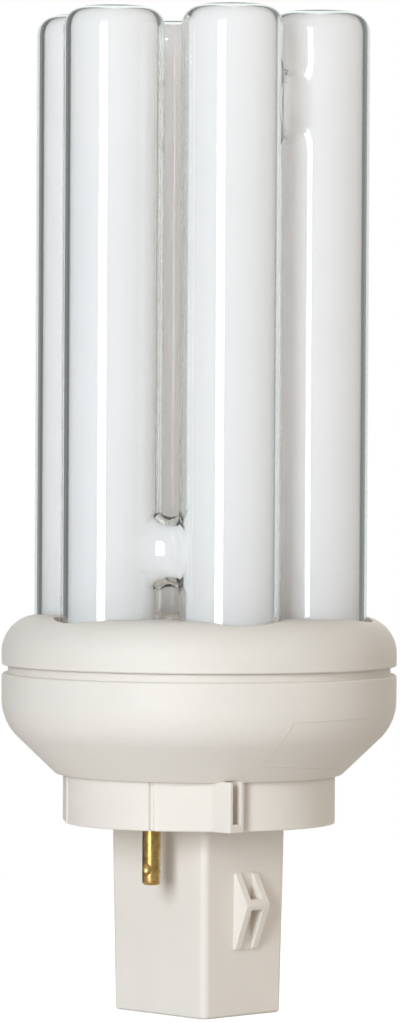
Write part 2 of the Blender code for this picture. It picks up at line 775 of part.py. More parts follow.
def build_wiring(nickel, tinned, sleeving):
    low = BOSS_INSIDE + FERRULE_RISE
    high = low + FERRULE_LENGTH
    near_leg, far_leg = ELECTRODE_LEGS

    pin_wires = ((near_leg, -1, 0), (far_leg, 1, 1))
    for number, (leg, sign, pin) in enumerate(pin_wires, start=1):
        start = pinch_lead(leg, sign)
        mouth = pin_place(pin) @ Vector((0, 0, pin_top()))
        path = wire_path(start, -1, mouth + Vector((0, 0, PIN_TAIL / 2)), 1, PIN_TAIL, steps=12)
        add_object(f"lead_in_wire_{number}", sweep(path, WIRE_RADIUS, WIRE_SIDES), nickel)
        inner = WIRE_RADIUS + GAP
        sleeve = sweep(path[2:-3], inner + SLEEVE_WALL, SLEEVE_SIDES, inner)
        add_object(f"insulating_sleeve_{number}", sleeve, sleeving)

    joints = ((FERRULE_NEAR, near_leg, 1), (FERRULE_FAR, far_leg, -1))
    for number, (centre, leg, sign) in enumerate(joints, start=1):
        lead_start = pinch_lead(leg, sign)
        upper = ferrule_slot(centre, high, lead_start)
        lower = ferrule_slot(centre, low, lead_start)
        path = wire_path(lead_start, -1, upper[0], 1, CRIMPED_LENGTH)
        add_object(f"lead_in_wire_{number + 2}", sweep(path, WIRE_RADIUS, WIRE_SIDES), nickel)

        side = -1 if number == 1 else 1
        terminal_y = side * CAPACITOR_LEAD_SPACING / 2
        terminal = Vector((capacitor_centre(), terminal_y, capacitor_top() + GAP))
        slot = min(upper[1:], key=lambda place: (place - terminal).length)
        path = wire_path(terminal, 1, slot, 1, CRIMPED_LENGTH)
        add_object(f"capacitor_lead_{number}", sweep(path, WIRE_RADIUS, WIRE_SIDES), tinned)

        other = 3 - upper.index(slot)
        seal = Vector((0, side * STARTER_LEAD_SPACING / 2, starter_top() + GAP))
        path = wire_path(seal, 1, lower[other], -1, CRIMPED_LENGTH)
        add_object(f"starter_lead_{number}", sweep(path, WIRE_RADIUS, WIRE_SIDES), tinned)

        bore = 2 * (WIRE_RADIUS + GAP / 2) / math.sqrt(3) + WIRE_RADIUS + GAP
        outside = bore + FERRULE_WALL
        profile = [(bore, low), (outside, low), (outside, high), (bore, high)]
        place = Matrix.Translation((centre[0], centre[1], 0))
        ring = turned(profile, PIN_SIDES, None, place, closed=True)
        add_object(f"crimp_ferrule_{number}", ring, tinned)


def main():
    clear_scene()
    white = material("white_plastic", (0.86, 0.85, 0.81), 0.45)
    cover_white = material("cover_plastic", (0.86, 0.85, 0.81), 0.45)
    glass = material("coated_glass", (0.90, 0.91, 0.91), 0.08)
    brass = material("pin_brass", (0.62, 0.44, 0.16), 0.25, metallic=1.0)
    cement = material("cement", (0.66, 0.58, 0.46), 0.9)
    clear = material("starter_glass", (0.75, 0.80, 0.80), 0.05, transmission=0.6)
    film = material("capacitor_case", (0.35, 0.12, 0.08), 0.4)
    nickel = material("nickel_wire", (0.60, 0.58, 0.55), 0.35, metallic=1.0)
    tinned = material("tinned_wire", (0.72, 0.72, 0.72), 0.3, metallic=1.0)
    sleeving = material("glass_fibre_sleeving", (0.85, 0.83, 0.76), 0.8)

    build_base_housing(white)
    build_top_cover(cover_white)
    build_discharge_tube(glass)
    build_tube_cement(cement)
    build_contact_pins(brass)
    build_starter_bottle(clear)
    build_capacitor(film)
    build_wiring(nickel, tinned, sleeving)


main()
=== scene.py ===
import math

import bmesh
import bpy
from mathutils import Matrix, Vector


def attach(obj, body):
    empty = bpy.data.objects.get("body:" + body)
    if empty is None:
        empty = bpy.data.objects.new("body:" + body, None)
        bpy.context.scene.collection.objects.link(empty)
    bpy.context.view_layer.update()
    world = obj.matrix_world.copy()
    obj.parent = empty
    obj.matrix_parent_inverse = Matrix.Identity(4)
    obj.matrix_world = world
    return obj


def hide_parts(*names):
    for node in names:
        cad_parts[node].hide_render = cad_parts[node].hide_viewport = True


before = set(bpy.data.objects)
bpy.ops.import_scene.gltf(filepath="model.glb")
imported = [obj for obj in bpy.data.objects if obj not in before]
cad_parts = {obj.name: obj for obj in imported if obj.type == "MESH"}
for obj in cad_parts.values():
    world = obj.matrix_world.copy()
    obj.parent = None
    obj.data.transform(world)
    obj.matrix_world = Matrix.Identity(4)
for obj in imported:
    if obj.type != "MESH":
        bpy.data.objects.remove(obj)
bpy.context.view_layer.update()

# Sizes shared with the CAD part, in metres
GAP = 0.0003
POST_LENGTH = 0.02298
POST_WIDTH = 0.01596
POST_DEPTH = 0.01323
POST_DRAFT = math.radians(0.8)
POST_CORNER = 0.0009
POST_WALL = 0.0013
POST_FLOOR = 0.0014

LUG_WIDTH = 0.00386
LUG_PLATE = 0.00095
LUG_REACH = 0.00237
LUG_APEX_HEIGHT = 0.0135
LUG_RISE = 0.0038
LUG_DROP = 0.0054
LUG_STEP = 0.0003
LUG_WEB_ABOVE = 0.0007
LUG_WEB_BELOW = 0.00055
LUG_PAD = 0.00012

BOSS_RADIUS = 0.01666
BOSS_HEIGHT = 0.0059
BOSS_FLOOR = 0.0015
FLAT_ANGLE = math.radians(50.8)
FLAT_HALF_ANGLE = math.radians(11.8)
EDGE_GROOVE_WIDTH = 0.00067
EDGE_GROOVE_DEPTH = 0.00035
EDGE_GROOVE_BANK = 0.00013
KEY_OFFSET = 0.00913
KEY_WIDTH = 0.00235
KEY_STAND = 0.00206
KEY_HEAD = 0.00012
KEY_SLOT_WIDTH = 0.00138
KEY_SLOT_DEPTH = 0.0017
KEY_SLOT_SILL = 0.00103

BOWL_HEIGHT = 0.01217
BOWL_WALL = 0.0015
BOWL_LEDGE = 0.00075
BOWL_SLOPE = math.radians(43.8)
BOWL_ROUND = 0.0065
LIP_WALL = 0.0011
LIP_RISE = 0.0033
LIP_ROOT = 0.0021
LIP_CHAMFER = 0.0004
GROOVE_HEIGHT = 0.00098
GROOVE_DEPTH = 0.00075
COVER_HEIGHT = 0.00605
COVER_SHOULDER = 0.00445
COVER_PLATE = 0.0015
SKIRT_WALL = 0.000975
COVER_EDGE = 0.0003

TUBE_RADIUS = 0.0061
TUBE_GAP = 0.002475
TUBE_SHOW = 0.0732
TUBE_SINK = 0.0091
TUBE_SHOULDER = 0.0026
TUBE_CROWN = 0.00025
TUBE_TO_LIP = 0.0009
TUBE_HOLE_CLEARANCE = 0.0008
UPPER_NECK_DROP = 0.0118
LOWER_NECK_RISE = 0.0080
PINCH_WIDTH = 0.0078
PINCH_THICKNESS = 0.0024
PINCH_LENGTH = 0.0055
PINCH_OVERLAP = 0.0030

PIN_RADIUS = 0.00109
PIN_CIRCLE = 0.0120
PIN_ANGLE = math.radians(18.2)
PIN_REACH = 0.00678
PIN_FLANGE = 0.0007
PIN_FLANGE_THICKNESS = 0.0006
PIN_TAIL = 0.0024
PIN_WALL = 0.00054
PIN_NOSE = 0.0010
PIN_DIMPLE_RISE = 0.0019
PIN_DIMPLE_TURN = math.radians(-74.0)

# Finer than the solids: rounded edges, the pins' dimples, and the glass over its white powder
POST_EDGE = 0.00035
LUG_EDGE = 0.00008
BOSS_EDGE = 0.0002
CORNER_SOFTNESS = 0.00016
BOWL_TOE = 0.0004
GROOVE_SEAM = 0.00004
PIN_NOSE_ROUND = 0.00035
PIN_DIMPLE_RADIUS = 0.0009
PIN_DIMPLE_DEPTH = 0.00036
GLASS_WALL = 0.00089
DOME_WALL_SHARE = 0.64
COATING_INSET = 0.00092

# The bridges' oval necks: half sizes at the middle and at the feet, and how much of the glass
# wall lies under each
NECK_HALF_DEPTH = 0.0033
NECK_HALF_HEIGHT = 0.0042
NECK_FOOT_DEPTH = 0.0042
NECK_FOOT_HEIGHT = 0.00475
NECK_WALL_RATIO = 1.35
NECK_FOOT_RATIO = 0.5
NECK_PULL = 0.9

# Heights and radii that follow from these
SEAT = POST_LENGTH
BOSS_TOP = SEAT + BOSS_HEIGHT
BOWL_TOP = BOSS_TOP + BOWL_HEIGHT
COVER_BASE = BOWL_TOP + GROOVE_HEIGHT
COVER_TOP = COVER_BASE + COVER_HEIGHT
TUBE_TOP = COVER_TOP + TUBE_SHOW
TUBE_BOTTOM = COVER_TOP - TUBE_SINK
LEG_CIRCLE = 2 * TUBE_RADIUS + TUBE_GAP
LIP_INSIDE = LEG_CIRCLE + TUBE_RADIUS + TUBE_TO_LIP
LIP_OUTSIDE = LIP_INSIDE + LIP_WALL
SKIRT_INSIDE = LIP_OUTSIDE + GAP
LEG_ANGLES = [math.radians(30 + 60 * k) for k in range(6)]
ELECTRODE_LEGS = (0, 1)
UPPER_NECKS = ((0, 5), (4, 3), (2, 1))
LOWER_NECKS = ((5, 4), (3, 2))

# The solids' collar has flat sides, and the round one here stays within them
CAD_COLLAR_SIDES = 48
COLLAR_RADIUS = (SKIRT_INSIDE + SKIRT_WALL) * math.cos(math.pi / CAD_COLLAR_SIDES)

# Faint raised figure on the bowl: (angle about the axis, height) of its corners
OUTLINE_CORNERS = ((math.radians(-21.6), 0.0310), (math.radians(23.5), 0.0300),
                   (math.radians(15.9), 0.0365), (math.radians(-16.3), 0.0363))
OUTLINE_RADIUS = 0.022
OUTLINE_WIDTH = 0.00016
OUTLINE_RISE = 0.00008
OUTLINE_STRENGTH = 0.6

# How finely the forms are built, and the limits for corners and welds
BODY_SIDES = 192
HOLE_SIDES = 96
TUBE_SIDES = 72
PIN_SIDES = 64
DIMPLE_SIDES = 48
FLOOR_SIDES = 128
NECK_RINGS = 10
NECK_WINDOW = math.radians(55)
NECK_WINDOW_HEIGHT = 0.0054
NECK_ROWS = 20
ROW_SPACING = 0.003
DOME_STEPS = 12
CROWN_STEPS = 5
FOOT_STEPS = 8
PINCH_STEPS = 5
PINCH_SQUARENESS = 0.5
CORNER_STEPS = 4
POST_CORNER_STEPS = 8
LUG_STEPS = 2
EDGE_STEPS = 5
TIP_STEPS = 6
SHOULDER_STEPS = 24
BOSS_STEPS = {"flat": 1, "groove": 3, "side": 16, "front": 36}
MITRE_LIMIT = 0.5
CORNER_SHARE = 0.45
CORNER_LIMIT = math.radians(155)
SHARP_ANGLE = math.radians(32)
WELD_DISTANCE = 0.000002

# Where the photo was taken from, as fitted to it
CAMERA_TURN = math.radians(-44.1)
CAMERA_DISTANCE = 0.6247
CAMERA_HEIGHT = 0.071352
CAMERA_PITCH = math.radians(0.978)
CAMERA_ROLL = math.radians(0.320)
CAMERA_LENS = 181.0
CAMERA_CLIP = (0.01, 10.0)

# The studio: a near strip light on the left, broad light from the right and from behind, and
# less of it from overhead. Turns are from the camera's side, colours are linear.
ROOM_LIGHT = 0.21
FILL_LIGHT = 0.93
FILL_TURN = math.radians(68)
REAR_LIGHT = 3.75
REAR_FOCUS = 4.0
OVERHEAD_LOSS = 0.6
OVERHEAD_EDGE = (0.35, 0.85)
AMBIENT_COLOUR = (1.0, 0.945, 0.88, 1.0)
REAR_COLOUR = (1.0, 0.97, 0.955, 1.0)
STRIP_TURN = math.radians(-24)
STRIP_DISTANCE = 0.36
STRIP_WIDTH = 0.104
STRIP_LOW = 0.0
STRIP_HIGH = 0.22
STRIP_RADIANCE = 17.0
STRIP_COLOUR = (0.85, 0.92, 1.0)

# What glass and metal see: a white backdrop behind, dark flags beside it, grey walls that are
# darker on the left, and a dim ceiling. Edges are cosines of the angle from a wall's middle, or
# from straight up, between which it fades in.
BACKDROP_EDGE = (math.cos(math.radians(27)), math.cos(math.radians(19)))
FLAG_EDGE = (math.cos(math.radians(75)), math.cos(math.radians(50)))
FLAG_TONE = 0.22
WALL_TONE = 0.5
DARK_WALL_TURN = math.radians(-105)
DARK_WALL_EDGE = (math.cos(math.radians(48)), math.cos(math.radians(34)))
DARK_WALL_SHARE = 0.8
CEILING_EDGE = (0.25, 0.7)
CEILING_TONE = 0.17
MIRRORED_COLOUR = (0.96, 1.0, 0.99, 1.0)

# The floor: matt near the lamp, plain white further out, and lifted towards white for the camera
FLOOR_RADIUS = 0.4
FLOOR_DROP = 0.00002
FLOOR_FADE = (0.06, 0.18)
FLOOR_LIFT = 0.66
FLOOR_SCALE = 35.0
FLOOR_DARK = (0.70, 0.68, 0.655, 1.0)
FLOOR_LIGHT = (0.74, 0.72, 0.695, 1.0)

# Glass and powder
GLASS_IOR = 1.52
GLASS_SCALE = 160.0
GLASS_SHADE = (0.99, 0.995, 0.992, 1.0)
RIPPLE_SCALE = 220.0
RIPPLE_DETAIL = 1.0
RIPPLE_STRENGTH = 0.03
RIPPLE_RISE = 0.0001
TUBE_TINT = (0.985, 0.995, 0.99)
STARTER_TINT = (0.93, 0.97, 0.96)
COATING_PASSES = 0.47
COATING_SCALE = 90.0
COATING_DETAIL = 6.0
COATING_DARK = (0.97, 0.951, 0.95, 1.0)
COATING_LIGHT = (0.98, 0.964, 0.962, 1.0)

# Noise: its detail and roughness, and the range of values that it fills
NOISE_DETAIL = 4.0
NOISE_ROUGHNESS = 0.55
NOISE_SPAN = (0.3, 0.7)

# Other finishes: clouds between a dark and a light colour, a range of roughness, a fine grain
GRAIN = 9000.0
GRAIN_DETAIL = 2.0
GRAIN_RISE = 0.00005
GLOSS_SCALE_RATIO = 2.3
PLASTIC_DEPTH = 0.0012
PLASTIC_BLEED = (1.0, 0.85, 0.65)
PLAIN_FINISHES = {
    "warm_white_plastic": {"dark": (0.715, 0.666, 0.597), "light": (0.75, 0.701, 0.637), "scale": 60.0,
                           "rough": (0.55, 0.65), "bump": 0.12, "subsurface": 0.25},
    "bright_brass": {"dark": (0.46, 0.28, 0.08), "light": (0.70, 0.48, 0.19), "scale": 800.0,
                     "rough": (0.25, 0.37), "metallic": 1.0, "bump": 0.02, "grain": 3000.0},
    "baked_cement": {"dark": (0.52, 0.44, 0.32), "light": (0.70, 0.62, 0.48), "scale": 400.0,
                     "rough": (0.75, 0.95), "bump": 0.6, "grain": 4000.0},
    "drawn_nickel": {"dark": (0.52, 0.50, 0.47), "light": (0.64, 0.62, 0.58), "scale": 700.0,
                     "rough": (0.25, 0.4), "metallic": 1.0},
    "tinned_copper": {"dark": (0.66, 0.66, 0.66), "light": (0.78, 0.78, 0.77), "scale": 700.0,
                      "rough": (0.2, 0.35), "metallic": 1.0},
    "dipped_resin": {"dark": (0.28, 0.09, 0.06), "light": (0.40, 0.14, 0.10), "scale": 200.0,
                     "rough": (0.2, 0.35)},
    "woven_glass_fibre": {"dark": (0.76, 0.74, 0.66), "light": (0.88, 0.86, 0.80), "scale": 900.0,
                          "rough": (0.7, 0.9), "bump": 0.5},
}
INNER_FINISHES = {
    "tube_cement": "baked_cement",
    "suppression_capacitor": "dipped_resin",
    "lead_in_wire": "drawn_nickel",
    "starter_lead": "tinned_copper",
    "capacitor_lead": "tinned_copper",
    "crimp_ferrule": "tinned_copper",
    "insulating_sleeve": "woven_glass_fibre",
}
WHITE = (1.0, 1.0, 1.0, 1.0)
BLACK = (0.0, 0.0, 0.0, 1.0)


# Mesh helpers

def loft(bm, rings, caps=True):
    """Joins rings of equal length with quads; a ring of one vertex is a pole."""
    for low, high in zip(rings, rings[1:]):
        count = max(len(low), len(high))
        for k in range(count):
            n = (k + 1) % count
            if len(low) == 1:
                bm.faces.new((low[0], high[n], high[k]))
            elif len(high) == 1:
                bm.faces.new((low[k], low[n], high[0]))
            else:
                bm.faces.new((low[k], low[n], high[n], high[k]))
    if caps:
        for ring in (rings[0], rings[-1]):
            if len(ring) > 2:
                bm.faces.new(ring)


def turned(profile, sides, bm=None, place=Matrix.Identity(4)):
    """A solid of revolution about Z from (radius, height) points."""
    bm = bm or bmesh.new()
    rings = []
    for radius, height in profile:
        if radius == 0.0:
            rings.append([bm.verts.new(place @ Vector((0, 0, height)))])
            continue
        ring = []
        for k in range(sides):
            turn = 2 * math.pi * (k + 0.5) / sides
            point = Vector((radius * math.cos(turn), radius * math.sin(turn), height))
            ring.append(bm.verts.new(place @ point))
        rings.append(ring)
    loft(bm, rings)
    return bm


def arc(centre, radius, start, end, steps):
    points = []
    for k in range(steps + 1):
        turn = start + (end - start) * k / steps
        points.append((centre[0] + radius * math.cos(turn), centre[1] + radius * math.sin(turn)))
    return points


def softened(points, radius):
    """A closed outline with its sharp corners rounded."""
    result = []
    count = len(points)
    for k, point in enumerate(points):
        here = Vector(point)
        back = Vector(points[k - 1]) - here
        ahead = Vector(points[(k + 1) % count]) - here
        if back.length == 0.0 or ahead.length == 0.0 or back.angle(ahead) > CORNER_LIMIT:
            result.append(point)
            continue
        reach = min(radius, CORNER_SHARE * back.length, CORNER_SHARE * ahead.length)
        first = here + reach * back.normalized()
        last = here + reach * ahead.normalized()
        for step in range(CORNER_STEPS + 1):
            t = step / CORNER_STEPS
            spot = (1 - t) ** 2 * first + 2 * t * (1 - t) * here + t ** 2 * last
            result.append((spot.x, spot.y))
    return result


def shrunk(points, inset):
    """A closed counter-clockwise outline moved inwards."""
    result = []
    count = len(points)
    for k, point in enumerate(points):
        here = Vector(point)
        along_in = (here - Vector(points[k - 1])).normalized()
        along_out = (Vector(points[(k + 1) % count]) - here).normalized()
        normal_in = Vector((-along_in.y, along_in.x))
        normal_out = Vector((-along_out.y, along_out.x))
        middle = (normal_in + normal_out).normalized()
        stretch = 1 / max(MITRE_LIMIT, middle.dot(normal_out))
        spot = here + inset * stretch * middle
        result.append((spot.x, spot.y))
    return result


def rounded_levels(points, low, high, edge, corner, steps=CORNER_STEPS, both=False):
    """Levels of an upright solid with rounded corners whose lower rim, or both, are rounded too."""
    levels = []
    for k in range(steps + 1):
        turn = math.pi / 2 * k / steps
        outline = softened(shrunk(points, edge * (1 - math.sin(turn))), corner)
        levels.append((outline, low + edge * (1 - math.cos(turn))))
    if not both:
        return levels + [(levels[-1][0], high)]
    upper = [(outline, low + high - height) for outline, height in reversed(levels)]
    return levels + upper


def outline_loft(levels, bm=None, place=Matrix.Identity(4)):
    bm = bm or bmesh.new()
    rings = []
    for outline, height in levels:
        rings.append([bm.verts.new(place @ Vector((x, y, height))) for x, y in outline])
    loft(bm, rings)
    return bm


def block(bm, low, high, place=Matrix.Identity(4)):
    (x0, y0, z0), (x1, y1, z1) = low, high
    outline = ((x0, y0), (x1, y0), (x1, y1), (x0, y1))
    outline_loft(((outline, z0), (outline, z1)), bm, place)


def half_turn(k):
    return Matrix.Rotation(math.pi * k, 4, "Z")


def mesh_object(name, bm, recalculate=True):
    if recalculate:
        bmesh.ops.recalc_face_normals(bm, faces=bm.faces)
    mesh = bpy.data.meshes.new(name)
    bm.to_mesh(mesh)
    bm.free()
    obj = bpy.data.objects.new(name, mesh)
    bpy.context.scene.collection.objects.link(obj)
    return obj


def carved(name, base, steps):
    """The base form with others added and cut away, as one plain mesh."""
    obj = mesh_object(name, base)
    tools = []
    for operation, form in steps:
        tool = mesh_object(f"{name}_tool", form)
        modifier = obj.modifiers.new(operation, "BOOLEAN")
        modifier.operation = operation
        modifier.solver = "EXACT"
        modifier.object = tool
        tools.append(tool)
    view = bpy.context.evaluated_depsgraph_get()
    settled = bpy.data.meshes.new_from_object(obj.evaluated_get(view))
    obj.modifiers.clear()
    obj.data = settled
    for tool in tools:
        bpy.data.objects.remove(tool, do_unlink=True)
    settled.shade_smooth()
    settled.set_sharp_from_angle(angle=SHARP_ANGLE)
    weighted = obj.modifiers.new("even_shading", "WEIGHTED_NORMAL")
    weighted.keep_sharp = True
    return obj


# Material helpers

class Shader:
    """A material or world under construction, with short calls for its nodes."""

    def __init__(self, owner):
        owner.use_nodes = True
        self.owner = owner
        self.tree = owner.node_tree
        self.tree.nodes.clear()

    def add(self, kind, values=None, **settings):
        node = self.tree.nodes.new(kind)
        for key, value in settings.items():
            setattr(node, key, value)
        for key, value in (values or {}).items():
            if isinstance(value, bpy.types.NodeSocket):
                self.tree.links.new(value, node.inputs[key])
            else:
                node.inputs[key].default_value = value
        return node

    def math(self, operation, first, second=0.0):
        return self.add("ShaderNodeMath", {0: first, 1: second}, operation=operation).outputs[0]

    def noise(self, place, scale, detail=NOISE_DETAIL):
        values = {"Vector": place, "Scale": scale, "Detail": detail, "Roughness": NOISE_ROUGHNESS}
        return self.add("ShaderNodeTexNoise", values).outputs["Fac"]

    def spread(self, value, low=0.0, high=1.0):
        """Maps a noise value, which stays near its middle, onto a range."""
        values = {"Value": value, "From Min": NOISE_SPAN[0], "From Max": NOISE_SPAN[1],
                  "To Min": low, "To Max": high}
        return self.add("ShaderNodeMapRange", values).outputs[0]

    def ramp(self, value, span, levels):
        """Maps one range smoothly onto another, and holds its ends."""
        values = {"Value": value, "From Min": span[0], "From Max": span[1],
                  "To Min": levels[0], "To Max": levels[1]}
        return self.add("ShaderNodeMapRange", values, interpolation_type="SMOOTHSTEP").outputs[0]

    def glow(self, kind, colour, strength):
        return self.add(kind, {"Color": colour, "Strength": strength}).outputs[0]

    def blend(self, factor, first, second):
        values = {"Factor": factor, 6: first, 7: second}
        return self.add("ShaderNodeMix", values, data_type="RGBA").outputs[2]

    def mix(self, factor, first, second):
        return self.add("ShaderNodeMixShader", {0: factor, 1: first, 2: second}).outputs[0]

    def sum(self, first, second):
        return self.add("ShaderNodeAddShader", {0: first, 1: second}).outputs[0]

    def finish(self, surface, kind="ShaderNodeOutputMaterial"):
        self.add(kind, {"Surface": surface})
        return self.owner


def object_place(shader):
    return shader.add("ShaderNodeTexCoord").outputs["Object"]


def outline_relief(shader, place, corners):
    """Height of a fine raised line round a slanted figure on the housing's side.

    Corners are (angle about the axis, height), counter-clockwise as seen from outside.
    """
    axes = shader.add("ShaderNodeSeparateXYZ", {0: place}).outputs
    across = shader.math("MULTIPLY", shader.math("ARCTAN2", axes[1], axes[0]), OUTLINE_RADIUS)
    points = [Vector((OUTLINE_RADIUS * turn, height)) for turn, height in corners]
    outside = None
    for k, start in enumerate(points):
        along = (points[(k + 1) % len(points)] - start).normalized()
        part = shader.math("ADD", shader.math("MULTIPLY", across, along.y),
                           shader.math("MULTIPLY", axes[2], -along.x))
        part = shader.math("SUBTRACT", part, along.y * start.x - along.x * start.y)
        outside = part if outside is None else shader.math("MAXIMUM", outside, part)
    return shader.ramp(shader.math("ABSOLUTE", outside), (0.0, OUTLINE_WIDTH), (1.0, 0.0))


def uneven_material(name, dark, light, scale, rough, metallic=0.0, bump=0.1, grain=GRAIN,
                    subsurface=0.0, outline=None):
    """A finish whose colour, gloss and surface vary slightly from place to place."""
    shader = Shader(bpy.data.materials.new(name))
    place = object_place(shader)
    clouds = shader.noise(place, scale)
    specks = shader.noise(place, grain, GRAIN_DETAIL)
    colour = shader.blend(shader.spread(clouds), (*dark, 1.0), (*light, 1.0))
    gloss = shader.spread(shader.noise(place, scale * GLOSS_SCALE_RATIO), *rough)
    relief = shader.add("ShaderNodeBump", {"Strength": bump, "Distance": GRAIN_RISE, "Height": specks})
    if outline:
        ridge = outline_relief(shader, place, outline)
        relief = shader.add("ShaderNodeBump", {"Strength": OUTLINE_STRENGTH, "Distance": OUTLINE_RISE,
                                               "Height": ridge, "Normal": relief.outputs[0]})
    values = {"Base Color": colour, "Roughness": gloss, "Metallic": metallic, "Normal": relief.outputs[0]}
    if subsurface:
        values["Subsurface Weight"] = subsurface
        values["Subsurface Scale"] = PLASTIC_DEPTH
        values["Subsurface Radius"] = PLASTIC_BLEED
    body = shader.add("ShaderNodeBsdfPrincipled", values)
    return shader.finish(body.outputs[0])


def plain_finish(name):
    return uneven_material(name, **PLAIN_FINISHES[name])


def glass_material(name, tint):
    """Glass with a faint tint and ripple, which lets light through to what is under it."""
    shader = Shader(bpy.data.materials.new(name))
    place = object_place(shader)
    clouds = shader.spread(shader.noise(place, GLASS_SCALE))
    colour = shader.blend(clouds, (*tint, 1.0), (*[0.5 + 0.5 * c for c in tint], 1.0))
    ripple = shader.add("ShaderNodeBump", {"Strength": RIPPLE_STRENGTH, "Distance": RIPPLE_RISE,
                                           "Height": shader.noise(place, RIPPLE_SCALE, RIPPLE_DETAIL)})
    values = {"Color": colour, "Roughness": 0.0, "IOR": GLASS_IOR, "Normal": ripple.outputs[0]}
    glass = shader.add("ShaderNodeBsdfGlass", values).outputs[0]
    clear = shader.add("ShaderNodeBsdfTransparent", {"Color": GLASS_SHADE}).outputs[0]
    path = shader.add("ShaderNodeLightPath").outputs
    passing = shader.math("MAXIMUM", path["Is Shadow Ray"], path["Is Diffuse Ray"])
    return shader.finish(shader.mix(passing, glass, clear))


def coating_material():
    """The white powder on the inside of the tube."""
    shader = Shader(bpy.data.materials.new("tube_coating_powder"))
    clouds = shader.spread(shader.noise(object_place(shader), COATING_SCALE, COATING_DETAIL))
    colour = shader.blend(clouds, COATING_DARK, COATING_LIGHT)
    body = shader.add("ShaderNodeBsdfDiffuse", {"Color": colour}).outputs[0]
    passing = shader.add("ShaderNodeBsdfTranslucent", {"Color": colour}).outputs[0]
    return shader.finish(shader.mix(COATING_PASSES, body, passing))


# The glass envelope: six legs joined by five bridges, at any depth below its outer surface

def leg_place(index):
    return Matrix.Rotation(LEG_ANGLES[index], 4, "Z") @ Matrix.Translation((LEG_CIRCLE, 0, 0))


def neck_heights():
    """Each bridge as (first leg, second leg, height)."""
    upper = [(first, second, TUBE_TOP - UPPER_NECK_DROP) for first, second in UPPER_NECKS]
    lower = [(first, second, COVER_TOP + LOWER_NECK_RISE) for first, second in LOWER_NECKS]
    return upper + lower


def spaced(low, high, count):
    return [low + (high - low) * k / count for k in range(count + 1)]


def leg_rows():
    """Heights of the vertex rows on a leg's straight part."""
    start = TUBE_BOTTOM + TUBE_SHOULDER
    end = TUBE_TOP - TUBE_CROWN - TUBE_SHOULDER
    rows = [start]
    for middle in (COVER_TOP + LOWER_NECK_RISE, TUBE_TOP - UPPER_NECK_DROP):
        low, high = middle - NECK_WINDOW_HEIGHT, middle + NECK_WINDOW_HEIGHT
        count = max(1, round((low - rows[-1]) / ROW_SPACING))
        rows += spaced(rows[-1], low, count)[1:]
        rows += spaced(low, high, NECK_ROWS)[1:]
    return rows + spaced(rows[-1], end, 2)[1:]


def dome_profile(inset):
    """A leg's closed top from the end of the straight part to the pole."""
    flat = TUBE_RADIUS - TUBE_SHOULDER
    base = TUBE_TOP - TUBE_CROWN - TUBE_SHOULDER
    profile = []
    for k in range(1, DOME_STEPS + 1):
        turn = math.pi / 2 * k / DOME_STEPS
        depth = inset * (1 - (1 - DOME_WALL_SHARE) * math.sin(turn) ** 2)
        reach = TUBE_SHOULDER - depth
        profile.append((flat + reach * math.cos(turn), base + reach * math.sin(turn)))
    top = TUBE_TOP - TUBE_CROWN - inset * DOME_WALL_SHARE
    for k in range(1, CROWN_STEPS + 1):
        along = k / CROWN_STEPS
        profile.append((flat * (1 - along), top + TUBE_CROWN * (1 - math.cos(math.pi * along)) / 2))
    return profile


def squared(value):
    """Pushes a sine or cosine towards 1 or -1, which makes a round section squarer."""
    return math.copysign(abs(value) ** PINCH_SQUARENESS, value)


def foot_rings(index, inset):
    """A leg's lower end: a closed dome, or a flat press seal under an electrode leg."""
    rings = []
    if index in ELECTRODE_LEGS:
        seal_bottom = TUBE_BOTTOM + PINCH_OVERLAP - PINCH_LENGTH + inset
        start = TUBE_BOTTOM + TUBE_SHOULDER
        half_wide = PINCH_WIDTH / 2 - inset
        half_thin = PINCH_THICKNESS / 2 - inset
        for k in range(FOOT_STEPS):
            along = min(1.0, k / PINCH_STEPS)
            blend = (1 - math.cos(math.pi * along)) / 2
            height = start + (seal_bottom - start) * (k + 1) / FOOT_STEPS
            ring = []
            for side in range(TUBE_SIDES):
                turn = 2 * math.pi * side / TUBE_SIDES
                radius = TUBE_RADIUS - inset
                x = (1 - blend) * radius * math.cos(turn)
                y = (1 - blend) * radius * math.sin(turn)
                x += blend * half_thin * squared(math.cos(turn))
                y += blend * half_wide * squared(math.sin(turn))
                ring.append((x, y, height))
            rings.append(ring)
        return rings
    flat = TUBE_RADIUS - TUBE_SHOULDER
    centre = (flat, TUBE_BOTTOM + TUBE_SHOULDER)
    for radius, height in arc(centre, TUBE_SHOULDER - inset, 0.0, -math.pi / 2, FOOT_STEPS)[1:]:
        ring = []
        for side in range(TUBE_SIDES):
            turn = 2 * math.pi * side / TUBE_SIDES
            ring.append((radius * math.cos(turn), radius * math.sin(turn), height))
        rings.append(ring)
    return rings


